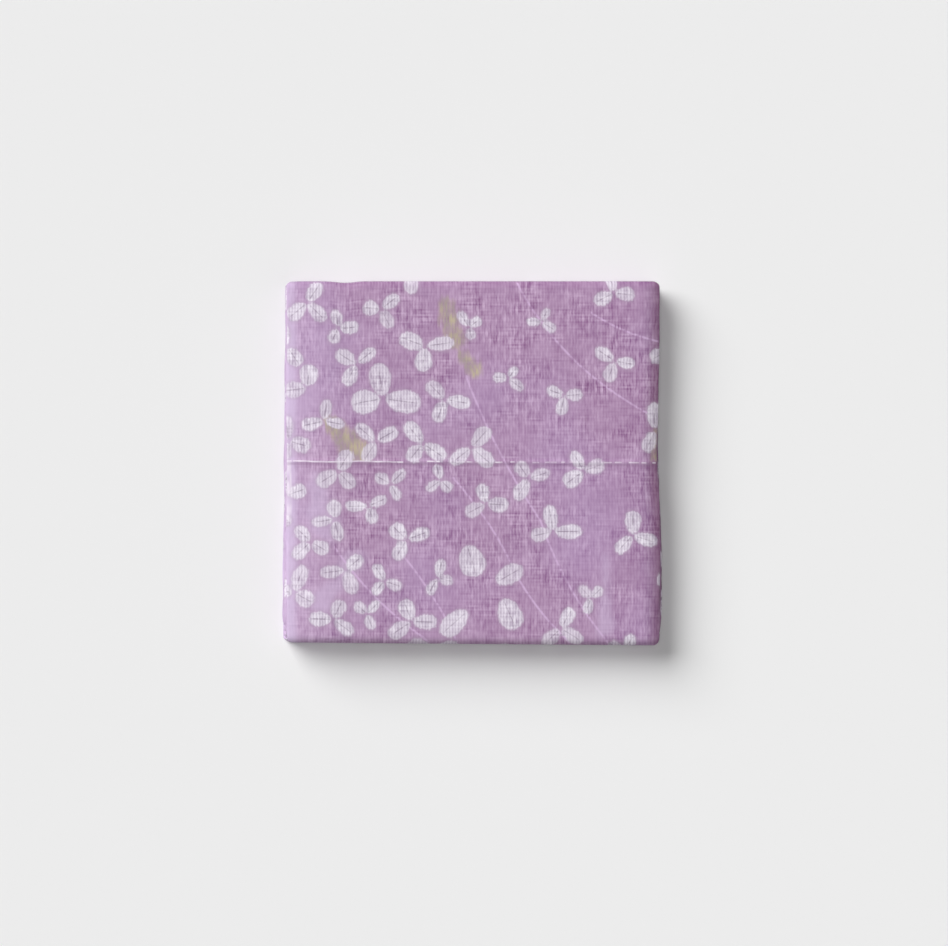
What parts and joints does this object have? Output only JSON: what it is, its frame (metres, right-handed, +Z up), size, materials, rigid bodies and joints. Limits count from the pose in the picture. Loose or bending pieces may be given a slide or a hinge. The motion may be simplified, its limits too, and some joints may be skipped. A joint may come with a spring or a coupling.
{
  "type": "folded tenugui towel",
  "caption": "Thin printed cotton hand towel, folded across and then along its length into a soft, nearly square pack that lies flat.",
  "frame": {"origin": "middle of the pack's foot, on the surface it lies on", "axes": "+Z up through the layers, +X to the right across the cloth's folded width, +Y from the closed front fold to the back"},
  "size_m": [0.1176, 0.113, 0.0123],
  "materials": {
    "dyed_cotton": "matt plain weave, purple ground with a pale leaf print"
  },
  "bodies": {
    "root": {"towel": "dyed_cotton"}
  },
  "joints": []
}
